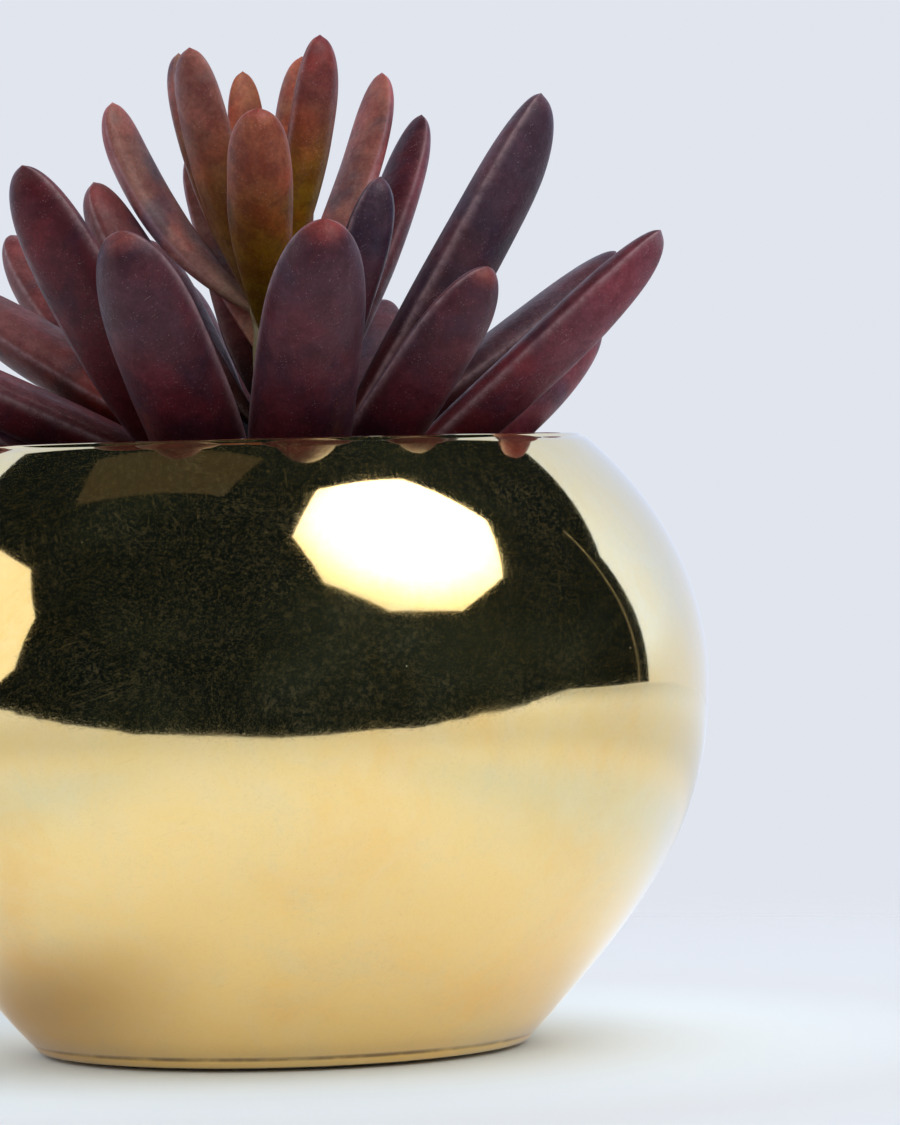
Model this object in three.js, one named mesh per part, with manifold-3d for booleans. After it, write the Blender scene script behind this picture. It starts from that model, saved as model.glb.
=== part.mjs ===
// A polished brass planter pot with a rosette succulent standing in it in its own grow pot.
// Millimetres, +Z up. The origin is the centre of the pot's flat base, and the plant's front faces -Y.
import * as THREE from "three";
import { mergeVertices } from "three/addons/utils/BufferGeometryUtils.js";
import Module from "manifold-3d";

const wasm = await Module();
wasm.setup();

// Driving dimensions of the brass pot, radii and heights of its outer wall
const POT_HEIGHT = 84;
const BELLY_RADIUS = 60;
const BELLY_HEIGHT = 50;
const RIM_RADIUS = 43.2;
const BASE_RADIUS = 34;
const BASE_EDGE_LIFT = 0.6; // the base's outer edge stands this far above its flat foot
const FOOT_RADIUS = 30.5;
const BRASS_WALL = 1.6;

// The plastic grow pot inside it
const GAP = 0.3; // between pieces that rest on or hold each other
const GROW_BOTTOM_RADIUS = 24;
const GROW_TOP_RADIUS = 33;
const GROW_HEIGHT = 54;
const GROW_WALL = 0.9;
const GROW_LIP_RADIUS = 35.6;
const GROW_LIP_HEIGHT = 4;
const DRAIN_RADIUS = 2.5;
const DRAIN_CIRCLE_RADIUS = 14;
const DRAIN_COUNT = 4; // around one more in the middle
const GROW_FLOOR = BRASS_WALL + GAP;

// Soil, and the stem that is rooted in it
const SOIL_EDGE_HEIGHT = 51;
const SOIL_CROWN_HEIGHT = 53;
const STEM_FOOT_HEIGHT = 42;
const STEM_TOP_HEIGHT = 105;
const STEM_FOOT_RADIUS = 2.9;
const STEM_TOP_RADIUS = 1.5;

const LATHE_SEGMENTS = 48;
const POT_STEPS = 9; // along each of the outer wall's two curves
const LEAF_AROUND = 8;
const LEAF_ALONG = 9;
const TIP_CROWDING = 0.6; // draws a leaf's rings together towards its tip, where it is most curved
const DEGREE = Math.PI / 180;

// Leaves, tier by tier. Each row is: azimuth (0 to the right, -90 to the front), height of its base on the stem,
// rise above the horizontal, length, width, bend (how much steeper the tip is than the base) and twist.
const TIERS = {
  lower: {
    thickness: 0.68,
    baseShare: 0.24,
    colour: "leaf_purple",
    leaves: [
      [-80, 56.5, 52, 71, 14.4, 4, 0],
      [-115, 61.5, 50, 65.5, 14.2, 6, 0],
      [-50, 64, 44, 60.5, 11.6, 0, 0],
      [-142, 66.5, 55, 67, 13.4, 6, 0],
      [-176, 76, 25, 52, 11.4, 4, 8],
      [161, 79.5, 31.5, 52, 11.5, 4, 14],
      [139, 67, 46, 66, 11.6, 4, 0],
      [-12, 70, 58.5, 71, 13.4, 4, 0],
      [-13, 65, 41, 70.5, 11.2, 2, 0],
      [16, 61, 40, 60.5, 10.5, 6, 0],
      [22, 75.5, 33.5, 62, 9.5, 4, 0],
      [68, 60.5, 45, 62, 11, 4, 0],
      [43, 64.5, 44, 52, 10.5, 4, 0],
      [96, 57.5, 43, 60, 12, 4, 0],
      [110, 69.5, 46, 54, 10.5, 6, 0],
      [140, 56.5, 41, 54, 11, 4, 0],
      [173, 57, 39.5, 54, 10.2, 4, 0],
    ],
  },
  middle: {
    thickness: 0.66,
    baseShare: 0.24,
    colour: "leaf_red",
    leaves: [
      [36, 80.5, 62, 55.5, 8.4, 8, 0],
      [-37, 80.5, 65, 43, 8.8, 10, 0],
      [170, 86.5, 57, 40.5, 10, 14, 20],
      [124, 79.5, 50, 44, 9.5, 10, 0],
      [82, 75.5, 48, 46, 9.5, 10, 0],
      [104, 88.5, 52, 36, 8.6, 10, 0],
      [62, 90.5, 50, 28, 7.4, 10, 0],
    ],
  },
  crown: {
    thickness: 0.6,
    baseShare: 0.24,
    colour: "leaf_olive",
    leaves: [
      [-91, 99.5, 55, 35.5, 9, 10, 0],
      [-132, 102, 70, 38, 8.2, 10, 0],
      [155, 102, 54, 37.5, 8, 40, 12],
      [153, 103, 72, 37, 7.4, 12, 0],
      [119, 96.5, 60, 34, 7.6, 12, 0],
      [120, 105.5, 83, 30, 5.6, 4, 0],
      [102, 102.5, 70, 30, 7, 10, 0],
      [52, 103.5, 76, 35, 7.4, 10, 0],
      [-34, 103.5, 76, 37, 8.4, 8, 0],
      [38, 98.5, 61, 42.5, 7.6, 28, 0],
      [76, 96.5, 56, 30, 7.4, 12, 0],
    ],
  },
};
const LEAF_PEAK = 0.6; // how far along a leaf is widest
const LEAF_UPPER_SHARE = 0.34; // of its thickness, above the line joining its edges
const LEAF_BLUNTNESS = 3;

const COLOURS = {
  brass: { color: 0xd8b45a, metalness: 1, roughness: 0.12 },
  black_plastic: { color: 0x1c1c1e, metalness: 0, roughness: 0.6 },
  soil: { color: 0x35261c, metalness: 0, roughness: 0.95 },
  stem: { color: 0xa9a878, metalness: 0, roughness: 0.55 },
  leaf_purple: { color: 0x4b2434, metalness: 0, roughness: 0.5 },
  leaf_red: { color: 0x6b2c35, metalness: 0, roughness: 0.5 },
  leaf_olive: { color: 0x8a4a32, metalness: 0, roughness: 0.5 },
};
const materials = Object.fromEntries(
  Object.entries(COLOURS).map(([name, look]) => [name, new THREE.MeshStandardMaterial({ name, ...look })]),
);

function toSolid(geometry) {
  const bare = geometry.clone();
  bare.deleteAttribute("normal");
  bare.deleteAttribute("uv");
  const merged = mergeVertices(bare, 1e-4);
  return new wasm.Manifold(
    new wasm.Mesh({
      numProp: 3,
      vertProperties: merged.attributes.position.array,
      triVerts: new Uint32Array(merged.index.array),
    }),
  );
}

function toGeometry(solid) {
  const mesh = solid.getMesh();
  return new THREE.BufferGeometry()
    .setAttribute("position", new THREE.BufferAttribute(mesh.vertProperties, 3))
    .setIndex(new THREE.BufferAttribute(mesh.triVerts, 1));
}

function named(name, geometry, colour) {
  const mesh = new THREE.Mesh(geometry, materials[colour]);
  mesh.name = name;
  return mesh;
}

// Turns a profile of (radius, height) points round the vertical axis.
function turned(profile, segments = LATHE_SEGMENTS) {
  return new THREE.LatheGeometry(profile, segments).rotateX(Math.PI / 2);
}

const at = (radius, height) => new THREE.Vector2(radius, height);

// The pot's outer wall from base edge to rim: a flaring lower curve, then an ellipse that closes in to the mouth.
function potOutline() {
  const belly = at(BELLY_RADIUS, BELLY_HEIGHT);
  const lower = new THREE.CubicBezierCurve(
    at(BASE_RADIUS, BASE_EDGE_LIFT),
    at(BASE_RADIUS + 16.5, BASE_EDGE_LIFT + 17.6),
    at(BELLY_RADIUS, BELLY_HEIGHT - 20.5),
    belly,
  ).getPoints(POT_STEPS);
  const rimAngle = Math.acos(RIM_RADIUS / BELLY_RADIUS);
  const ellipseHeight = (POT_HEIGHT - BELLY_HEIGHT) / Math.sin(rimAngle);
  const upper = new THREE.EllipseCurve(0, BELLY_HEIGHT, BELLY_RADIUS, ellipseHeight, 0, rimAngle).getPoints(POT_STEPS);
  return [...lower, ...upper.slice(1)];
}

// The same line moved in by the wall's thickness, square to itself.
function inset(points, distance) {
  return points.map((point, i) => {
    const before = points[Math.max(i - 1, 0)];
    const after = points[Math.min(i + 1, points.length - 1)];
    const along = after.clone().sub(before).normalize();
    return at(point.x - along.y * distance, point.y + along.x * distance);
  });
}

function brassPot() {
  const outer = potOutline();
  const inner = inset(outer, BRASS_WALL).filter((point) => point.y > BRASS_WALL * 1.5);
  inner.at(-1).y = POT_HEIGHT;
  const floorEdge = at(BASE_RADIUS - 2 * BRASS_WALL, BRASS_WALL);
  const profile = [at(0, 0), at(FOOT_RADIUS, 0), ...outer, ...inner.reverse(), floorEdge, at(0, BRASS_WALL)];
  return named("brass_pot", turned(profile), "brass");
}

function growPot() {
  const wall = GROW_WALL;
  const lipFoot = GROW_HEIGHT - GROW_LIP_HEIGHT;
  const shell = toSolid(
    turned([
      at(0, 0),
      at(GROW_BOTTOM_RADIUS - 1, 0),
      at(GROW_BOTTOM_RADIUS, 1),
      at(GROW_TOP_RADIUS, lipFoot),
      at(GROW_LIP_RADIUS, lipFoot),
      at(GROW_LIP_RADIUS, GROW_HEIGHT),
      at(GROW_TOP_RADIUS, GROW_HEIGHT),
      at(GROW_TOP_RADIUS - wall, lipFoot),
      at(GROW_BOTTOM_RADIUS - wall, wall),
      at(0, wall),
    ]),
  );
  const drain = toSolid(new THREE.CylinderGeometry(DRAIN_RADIUS, DRAIN_RADIUS, 4 * wall, 12).rotateX(Math.PI / 2));
  let pot = shell.subtract(drain);
  for (let i = 0; i < DRAIN_COUNT; i++) {
    const angle = (i * 2 * Math.PI) / DRAIN_COUNT;
    const [x, y] = [DRAIN_CIRCLE_RADIUS * Math.cos(angle), DRAIN_CIRCLE_RADIUS * Math.sin(angle)];
    pot = pot.subtract(drain.translate([x, y, 0]));
  }
  const mesh = named("grow_pot", toGeometry(pot), "black_plastic");
  mesh.position.z = GROW_FLOOR;
  return mesh;
}

// Soil fills the grow pot, mounds up to the stem and has a socket for it.
function soil() {
  const low = GROW_FLOOR + GROW_WALL + GAP;
  const slope = (GROW_TOP_RADIUS - GROW_BOTTOM_RADIUS) / (GROW_HEIGHT - GROW_LIP_HEIGHT - 1);
  const wallRadius = (height) => GROW_BOTTOM_RADIUS - GROW_WALL - 2 * GAP + slope * (height - GROW_FLOOR - 1);
  const socket = STEM_FOOT_RADIUS + GAP;
  const profile = [
    at(0, low),
    at(wallRadius(low), low),
    at(wallRadius(SOIL_EDGE_HEIGHT), SOIL_EDGE_HEIGHT),
    at(wallRadius(SOIL_EDGE_HEIGHT) - 3, SOIL_EDGE_HEIGHT + 0.8),
    at(15, SOIL_CROWN_HEIGHT - 0.6),
    at(socket, SOIL_CROWN_HEIGHT),
    at(socket, STEM_FOOT_HEIGHT - GAP),
    at(0, STEM_FOOT_HEIGHT - GAP),
  ];
  return named("soil", turned(profile, 32), "soil");
}

function stemRadius(height) {
  const share = (height - STEM_FOOT_HEIGHT) / (STEM_TOP_HEIGHT - STEM_FOOT_HEIGHT);
  return THREE.MathUtils.lerp(STEM_FOOT_RADIUS, STEM_TOP_RADIUS, share ** 2);
}

function stem() {
  const steps = 8;
  const profile = [at(0, STEM_FOOT_HEIGHT)];
  for (let i = 0; i <= steps; i++) {
    const height = THREE.MathUtils.lerp(STEM_FOOT_HEIGHT, STEM_TOP_HEIGHT, i / steps);
    profile.push(at(stemRadius(height), height));
  }
  profile.push(at(0, STEM_TOP_HEIGHT + 0.5));
  return named("stem", turned(profile, 16), "stem");
}

// Half width of a leaf as a share of its greatest, at a share t of its length.
function leafOutline(t, baseShare) {
  const widening = Math.sin((Math.PI / 2) * Math.min(1, t / LEAF_PEAK));
  const closing = Math.max(0, (t - LEAF_PEAK) / (1 - LEAF_PEAK));
  return (baseShare + (1 - baseShare) * widening) * Math.sqrt(1 - closing ** LEAF_BLUNTNESS);
}

// A leaf is a sphere stretched along an arc that rises from the stem: its poles are the leaf's base and tip.
function leafGeometry([azimuth, base, rise, length, width, bend, twist], { thickness, baseShare }) {
  const sphere = new THREE.SphereGeometry(1, LEAF_AROUND, LEAF_ALONG);
  const position = sphere.attributes.position;
  const start = (rise - bend / 2) * DEGREE;
  const curve = (Math.max(bend, 0.01) * DEGREE) / length;
  const root = stemRadius(base) + GAP;
  const point = new THREE.Vector3();
  for (let i = 0; i < position.count; i++) {
    point.fromBufferAttribute(position, i);
    const ring = Math.acos(THREE.MathUtils.clamp(-point.y, -1, 1)) / Math.PI;
    const t = ring * (1 + TIP_CROWDING * (1 - ring));
    const angle = start + curve * length * t;
    const reach = root + (Math.sin(angle) - Math.sin(start)) / curve;
    const height = base + (Math.cos(start) - Math.cos(angle)) / curve;
    const half = (width / 2) * leafOutline(t, baseShare);
    const round = Math.atan2(point.z, point.x);
    const pole = Math.hypot(point.x, point.z) < 1e-6 ? 0 : 1;
    const share = Math.sin(round) > 0 ? LEAF_UPPER_SHARE : 1 - LEAF_UPPER_SHARE;
    const side = pole * half * Math.cos(round);
    const lift = pole * half * 2 * thickness * share * Math.sin(round);
    const turnedSide = side * Math.cos(twist * DEGREE) - lift * Math.sin(twist * DEGREE);
    const turnedLift = side * Math.sin(twist * DEGREE) + lift * Math.cos(twist * DEGREE);
    const out = reach - turnedLift * Math.sin(angle);
    position.setXYZ(i, out, -turnedSide, height + turnedLift * Math.cos(angle));
  }
  return sphere.rotateZ(azimuth * DEGREE);
}

const plant = new THREE.Group();
plant.add(growPot(), soil(), stem());
for (const [tier, shape] of Object.entries(TIERS)) {
  shape.leaves.forEach((row, i) => {
    const number = String(i + 1).padStart(2, "0");
    plant.add(named(`${tier}_leaf_${number}`, leafGeometry(row, shape), shape.colour));
  });
}

const planter = new THREE.Group();
planter.add(brassPot(), plant);
export default planter;
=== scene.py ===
"""The looks of a polished brass planter pot with a rosette succulent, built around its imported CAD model."""
import math
import random

import bmesh
import bpy
from mathutils import Matrix, Vector, noise


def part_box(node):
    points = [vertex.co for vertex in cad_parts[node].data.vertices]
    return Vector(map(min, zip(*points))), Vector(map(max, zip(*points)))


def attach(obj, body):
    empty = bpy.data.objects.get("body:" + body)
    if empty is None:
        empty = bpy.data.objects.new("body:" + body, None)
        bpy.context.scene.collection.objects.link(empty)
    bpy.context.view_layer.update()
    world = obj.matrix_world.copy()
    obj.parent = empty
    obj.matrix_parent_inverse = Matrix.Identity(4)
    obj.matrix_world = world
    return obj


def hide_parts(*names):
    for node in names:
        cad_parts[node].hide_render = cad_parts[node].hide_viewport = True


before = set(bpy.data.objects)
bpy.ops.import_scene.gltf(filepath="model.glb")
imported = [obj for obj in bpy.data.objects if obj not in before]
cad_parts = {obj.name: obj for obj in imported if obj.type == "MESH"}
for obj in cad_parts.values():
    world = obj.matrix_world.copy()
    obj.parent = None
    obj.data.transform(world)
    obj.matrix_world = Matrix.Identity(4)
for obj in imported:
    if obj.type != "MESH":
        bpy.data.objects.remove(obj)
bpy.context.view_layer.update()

MM = 0.001


def srgb(red, green, blue):
    """A colour given on the 0 to 255 screen scale, as the linear colour that shaders take."""
    shares = [value / 255 for value in (red, green, blue)]
    return tuple(((s + 0.055) / 1.055) ** 2.4 if s > 0.0404 else s / 12.92 for s in shares)


def mix(a, b, share):
    return a + (b - a) * share


def mix_colours(a, b, share):
    return tuple(mix(x, y, share) for x, y in zip(a, b))


def smoothstep(low, high, value):
    share = min(1, max(0, (value - low) / (high - low)))
    return share * share * (3 - 2 * share)


# --------------------------------------------------------------------------------------------------
# Camera, floor and studio
# --------------------------------------------------------------------------------------------------

CAMERA_DISTANCE = 797 * MM
CAMERA_HEIGHT = 79.3 * MM
CAMERA_LENS = 184.3
CAMERA_YAW, CAMERA_PITCH, CAMERA_ROLL = 1.77, 0.925, 1.4

# Azimuths are 0 to the right and -90 to the front, and elevations are above the horizon, both in degrees.
BELLY = 50 * MM
PALE = srgb(225, 229, 238)
# Near the pot the ground is painted brighter and bluer than far away, as painted light.
FLOOR_NEAR, FLOOR_FAR = (0.84, 0.92, 1.0), srgb(227, 230, 235)
FLOOR_DROP = 0.1 * MM
# The reflected table's paint is painted light: bright near the pot, darker further out, bluer far away, with
# painted cool light at the sides and a painted shadow by the base.
TABLE_NEAR, TABLE_MIDDLE, TABLE_FAR = (0.97, 0.97, 0.98), (0.70, 0.71, 0.73), (0.84, 0.88, 0.97)
TABLE_SIDE_PAINTED_LIGHT = (0.82, 0.92, 1.1)
# A painted shadow on the table, hugging the pot's base on the left and a little to the front.
TABLE_SHADE, TABLE_SHADE_WAY = (0.54, 0.42, 0.32), (-0.98, -0.2, 0)
TABLE_FRONT, TABLE_HALF_WIDTH, TABLE_WAVES = -0.3, 2, 0.013
KEY_AZIMUTH, KEY_ELEVATION, KEY_RADIUS, KEY_WASH = -42, 50, 0.455, 2.3
SIDE_AZIMUTH, SIDE_ELEVATION, SIDE_RADIUS = 180, 18, 0.42
PANEL_AZIMUTH, PANEL_ELEVATION, PANEL_LEAN = 180, 72, -122
WINDOW_AZIMUTH, WINDOW_ELEVATION, WINDOW_STRENGTH = 8, 28, 0.35
WALL_PLACE, WALL_HALF_WIDTH, WALL_HEIGHT = 0.8, 1.8, 1.0
WALL_FOOT, WALL_MIDDLE, WALL_SIDE = (0.76, 0.82, 0.96), (0.64, 0.73, 0.92), (0.88, 1.08, 1.6)
FILL_FRONT, FILL_BACK = (0.70, 0.73, 0.77), (1.12, 1.17, 1.24)
ROOM_DARK, ROOM_HAZE = srgb(13, 20, 25), srgb(34, 44, 50)


def place_camera():
    """A long lens in front of the pot, aimed to its right, and rolled a little."""
    data = bpy.data.cameras.new("camera")
    data.lens = CAMERA_LENS
    camera = bpy.data.objects.new("camera", data)
    turn = Matrix.Rotation(math.radians(-CAMERA_YAW), 4, "Z")
    tilt = Matrix.Rotation(math.radians(90 - CAMERA_PITCH), 4, "X")
    roll = Matrix.Rotation(math.radians(-CAMERA_ROLL), 4, "Z")
    camera.matrix_world = Matrix.Translation((0, -CAMERA_DISTANCE, CAMERA_HEIGHT)) @ turn @ tilt @ roll
    bpy.context.scene.collection.objects.link(camera)
    bpy.context.scene.camera = camera


class Shader:
    """A node tree with short calls that add nodes and join them.

    A value given to a call may be a constant or another node's output.
    """

    def __init__(self, owner):
        owner.use_nodes = True
        self.owner = owner
        self.tree = owner.node_tree

    def put(self, node, socket, value):
        socket = node.inputs[socket]
        if isinstance(value, bpy.types.NodeSocket):
            self.tree.links.new(value, socket)
        elif socket.type == "RGBA":
            socket.default_value = (*value, 1)
        else:
            socket.default_value = value

    def node(self, kind, inputs, **settings):
        node = self.tree.nodes.new("ShaderNode" + kind)
        for name, value in settings.items():
            setattr(node, name, value)
        for socket, value in inputs.items():
            self.put(node, socket, value)
        return node

    def set(self, **inputs):
        """Sets inputs of the node that the material or the world already has."""
        surface = self.tree.nodes.get("Principled BSDF") or self.tree.nodes.get("Background")
        for socket, value in inputs.items():
            self.put(surface, socket.replace("_", " "), value)

    def attribute(self, name, output="Fac"):
        return self.node("Attribute", {}, attribute_name=name).outputs[output]

    def metres(self):
        """Object coordinates in metres."""
        return self.node("TexCoord", {}).outputs["Object"]

    def position(self, stretch=(1, 1, 1), turn=(0, 0, 0)):
        """Object coordinates in millimetres, turned and then shrunk by the stretch."""
        angles = tuple(math.radians(a) for a in turn)
        turned = self.node("Mapping", {"Vector": self.metres(), "Rotation": angles})
        scale = tuple(1 / (s * MM) for s in stretch)
        return self.node("Mapping", {"Vector": turned.outputs["Vector"], "Scale": scale}).outputs["Vector"]

    def noise(self, place, size, detail=3, roughness=0.5, distortion=0):
        inputs = {"Vector": place, "Scale": 1 / size, "Detail": detail, "Roughness": roughness}
        return self.node("TexNoise", {**inputs, "Distortion": distortion}).outputs[0]

    def cells(self, place, size):
        return self.node("TexVoronoi", {"Vector": place, "Scale": 1 / size}).outputs["Distance"]

    def ramp(self, value, low, high, start=0, end=1):
        """Runs smoothly from start to end as the value goes from low to high."""
        inputs = {"Value": value, "From Min": low, "From Max": high, "To Min": start, "To Max": end}
        return self.node("MapRange", inputs, interpolation_type="SMOOTHSTEP").outputs["Result"]

    def math(self, operation, a, b):
        return self.node("Math", {0: a, 1: b}, operation=operation).outputs["Value"]

    def times(self, a, b):
        return self.math("MULTIPLY", a, b)

    def plus(self, a, b):
        return self.math("ADD", a, b)

    def size(self, value):
        """A number without its sign."""
        return self.math("ABSOLUTE", value, 0)

    def axis(self, vector, name):
        return self.node("SeparateXYZ", {0: vector}).outputs[name]

    def length(self, vector):
        return self.node("VectorMath", {0: vector}, operation="LENGTH").outputs["Value"]

    def shift(self, vector, by):
        return self.node("VectorMath", {0: vector, 1: by}, operation="ADD").outputs["Vector"]

    def reach_along(self, vector, way):
        """How far a vector goes in a direction."""
        return self.node("VectorMath", {0: vector, 1: way}, operation="DOT_PRODUCT").outputs["Value"]

    def grey(self, value):
        return self.node("CombineColor", {"Red": value, "Green": value, "Blue": value}).outputs["Color"]

    def blend(self, share, a, b, kind="MIX"):
        """Colour a, turning into b as the share goes from 0 to 1.

        The mixing node's inputs 0, 6 and 7 and its output 2 are the ones for colours.
        """
        return self.node("Mix", {0: share, 6: a, 7: b}, data_type="RGBA", blend_type=kind).outputs[2]

    def tinted(self, colour, tint):
        return self.blend(1.0, colour, tint, "MULTIPLY")

    def bump(self, height, depth, *under):
        """A relief with heights of 0 to 1 and a depth in millimetres, on top of the normals under it."""
        inputs = {"Height": height, "Distance": depth * MM, "Strength": 1.0}
        if under:
            inputs["Normal"] = under[0]
        return self.node("Bump", inputs).outputs["Normal"]


def new_material(name, **inputs):
    shader = Shader(bpy.data.materials.new(name))
    shader.set(**inputs)
    return shader


def stage_card(name, corners, material, *unseen_by):
    """A flat polygon of the studio, hidden from the kinds of rays that are named."""
    mesh = bpy.data.meshes.new(name)
    mesh.from_pydata(corners, [], [tuple(range(len(corners)))])
    mesh.materials.append(material)
    card = bpy.data.objects.new(name, mesh)
    bpy.context.scene.collection.objects.link(card)
    for rays in unseen_by:
        setattr(card, "visible_" + rays, False)
    return card


def glow(name, colour, strength):
    shader = new_material(name, Base_Color=(0, 0, 0), Specular_IOR_Level=0)
    shader.set(Emission_Color=colour, Emission_Strength=strength)
    return shader.owner


def facing_card(name, way, distance, corners, material, *unseen_by, lean=0):
    """A card that faces the pot from an azimuth and elevation, seen only in reflections and by its light."""
    azimuth, elevation = (math.radians(a) for a in way)
    level = math.cos(elevation)
    direction = Vector((level * math.cos(azimuth), level * math.sin(azimuth), math.sin(elevation)))
    card = stage_card(name, corners, material, "camera", "shadow", *unseen_by)
    facing = direction.to_track_quat("Z", "Y").to_matrix().to_4x4()
    turn = facing @ Matrix.Rotation(math.radians(lean), 4, "Z")
    card.matrix_world = Matrix.Translation(direction * distance + Vector((0, 0, BELLY))) @ turn


def polygon(sides, radius, turn=0):
    angles = [math.radians(turn) + 2 * math.pi * i / sides for i in range(sides)]
    return [(radius * math.cos(a), radius * math.sin(a), 0) for a in angles]


def rectangle(width, height):
    return [(x * width / 2, y * height / 2, 0) for x, y in ((-1, -1), (1, -1), (1, 1), (-1, 1))]


def upright(left, right, y, height):
    """A card that stands on the floor and spans the X axis from left to right."""
    return [(left, y, 0), (right, y, 0), (right, y, height), (left, y, height)]


def make_ground():
    """A white floor for the camera, painted brighter and bluer near the pot as painted light, which fades
    into the pale backdrop.
    """
    ground = new_material("pale_ground", Roughness=0.8, Specular_IOR_Level=0.1)
    reach = ground.length(ground.metres())
    # Painted light: the ground's colour is brighter and bluer near the pot.
    paint = ground.blend(ground.ramp(reach, 0.06, 0.11), FLOOR_NEAR, FLOOR_FAR)
    ground.set(Base_Color=paint, Alpha=ground.ramp(reach, 0.09, 0.3, 1, 0))
    corners = [(3 * x, 3 * y, -FLOOR_DROP) for x, y in ((-1, -1), (1, -1), (1, 1), (-1, 1))]
    stage_card("ground", corners, ground.owner, "glossy")


def make_table():
    """The table that only the brass sees. Its paint carries painted light and a painted shadow: brighter near
    the pot, darker further out, cool at the sides. It ends in front of the pot in a slightly wavy edge.
    """
    table = new_material("white_table", Roughness=0.8, Specular_IOR_Level=0.1)
    place = table.metres()
    reach = table.length(place)
    # Painted light: brighter near the pot, darker further out, with painted cool light at both sides and
    # bluer far away.
    paint = table.blend(table.ramp(reach, 0.08, 0.30), TABLE_NEAR, TABLE_MIDDLE)
    sideways = table.ramp(table.size(table.axis(place, "X")), 0.04, 0.12)
    beside = table.times(sideways, table.ramp(reach, 0.12, 0.22, 1, 0))
    paint = table.blend(beside, paint, table.tinted(paint, TABLE_SIDE_PAINTED_LIGHT))
    paint = table.blend(table.ramp(reach, 0.26, 0.75), paint, TABLE_FAR)
    # Painted shadow: the table is darkened brown in a band hugging the pot's base on the left, a little to
    # the front.
    aside = table.ramp(table.reach_along(place, TABLE_SHADE_WAY), 0.016, 0.048)
    shaded = table.times(aside, table.ramp(reach, 0.040, 0.060, 1, 0))
    table.set(Base_Color=table.blend(shaded, paint, TABLE_SHADE))
    chance = random.Random(5)
    steps = 60
    front = []
    for i in range(steps + 1):
        x = mix(-TABLE_HALF_WIDTH, TABLE_HALF_WIDTH, i / steps)
        front.append((x, TABLE_FRONT + chance.uniform(-TABLE_WAVES, TABLE_WAVES), 0))
    back = [(TABLE_HALF_WIDTH, WALL_PLACE, 0), (-TABLE_HALF_WIDTH, WALL_PLACE, 0)]
    stage_card("table", front + back, table.owner, "camera", "diffuse", "shadow")


def make_lights():
    """A large eight-sided softbox with its wash of light, a side softbox, a dim panel and a bluish window."""
    key = new_material("softbox_light", Base_Color=(0, 0, 0), Specular_IOR_Level=0)
    reach = key.length(key.shift(key.metres(), (-0.08, -0.08, 0)))
    key.set(Emission_Color=(1, 0.98, 0.95), Emission_Strength=key.ramp(reach, 0.22, 0.54, 4.4, 1.3))
    key_way = (KEY_AZIMUTH, KEY_ELEVATION)
    facing_card("key_softbox", key_way, 1.0, polygon(8, KEY_RADIUS, 10), key.owner, "diffuse")
    wash = glow("softbox_wash", (1, 0.98, 0.96), KEY_WASH)
    facing_card("key_wash", key_way, 1.0, polygon(8, 0.5), wash, "glossy")
    side = glow("side_softbox_light", (1, 0.97, 0.93), 1.15)
    side_way = (SIDE_AZIMUTH, SIDE_ELEVATION)
    facing_card("side_softbox", side_way, 1.1, polygon(8, SIDE_RADIUS, 22.5), side, "diffuse")
    panel = glow("dim_panel_light", (1, 0.93, 0.84), 0.04)
    panel_way = (PANEL_AZIMUTH, PANEL_ELEVATION)
    facing_card("dim_panel", panel_way, 1.2, rectangle(0.66, 0.34), panel, lean=PANEL_LEAN)
    window = glow("window_light", (0.5, 0.72, 1.0), WINDOW_STRENGTH)
    window_way = (WINDOW_AZIMUTH, WINDOW_ELEVATION)
    facing_card("window", window_way, 1.6, rectangle(1.6, 1.2), window, "glossy")


def make_walls():
    """The pale wall behind the pot and the bright edge of a light stand, for reflections only."""
    paint = new_material("wall_light", Base_Color=(0, 0, 0), Specular_IOR_Level=0, Emission_Strength=1)
    place = paint.metres()
    aside = paint.ramp(paint.size(paint.axis(place, "X")), 0.1, 1.6)
    above = paint.ramp(paint.axis(place, "Z"), 0, 0.3)
    paint.set(Emission_Color=paint.blend(above, WALL_FOOT, paint.blend(aside, WALL_MIDDLE, WALL_SIDE)))
    edge = glow("stand_light", (1, 0.95, 0.8), 0.6)
    stage_card("light_stand", upright(1.98, 2, 0.7, 1.5), edge, "camera", "diffuse")
    corners = upright(-WALL_HALF_WIDTH, WALL_HALF_WIDTH, WALL_PLACE, WALL_HEIGHT)
    stage_card("pale_wall", corners, paint.owner, "camera", "diffuse")


def make_world():
    """The camera sees a pale backdrop, mirrors see a dark hazy room, and all other light is a soft fill."""
    world = Shader(bpy.data.worlds.new("studio"))
    bpy.context.scene.world = world.owner
    world.owner.cycles.sampling_method = "NONE"
    rays = world.node("LightPath", {})
    direction = world.node("TexCoord", {}).outputs["Generated"]
    haze = world.ramp(world.noise(direction, 1.2, 3, 0.5), 0.42, 0.75)
    room = world.blend(haze, ROOM_DARK, ROOM_HAZE)
    behind = world.ramp(world.axis(direction, "Y"), -0.7, 0.7)
    fill = world.blend(behind, FILL_FRONT, FILL_BACK)
    mirrored = world.math("SUBTRACT", rays.outputs["Is Glossy Ray"], rays.outputs["Diffuse Depth"])
    around = world.blend(world.math("MAXIMUM", mirrored, 0), fill, room)
    world.set(Color=world.blend(rays.outputs["Is Camera Ray"], around, PALE))
    bpy.context.scene.view_settings.view_transform = "Standard"


# --------------------------------------------------------------------------------------------------
# Materials
# --------------------------------------------------------------------------------------------------


HAIRLINES = ((8, 14, 0.14), (-35, 7, 0.12), (64, 9, 0.12), (112, 6, 0.10), (160, 8, 0.12))


def hairline_scratches(shader):
    """Fine scratches in several directions, each given as its turn in degrees, length and width."""
    hairlines = 0.0
    for turn, length, width in HAIRLINES:
        place = shader.position((length, width, width * 2), (turn, turn * 2, turn * 3))
        strokes = shader.ramp(shader.noise(place, 1.0, 2, 0.5), 0.62, 0.76)
        hairlines = shader.math("MAXIMUM", hairlines, strokes)
    return hairlines


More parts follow.
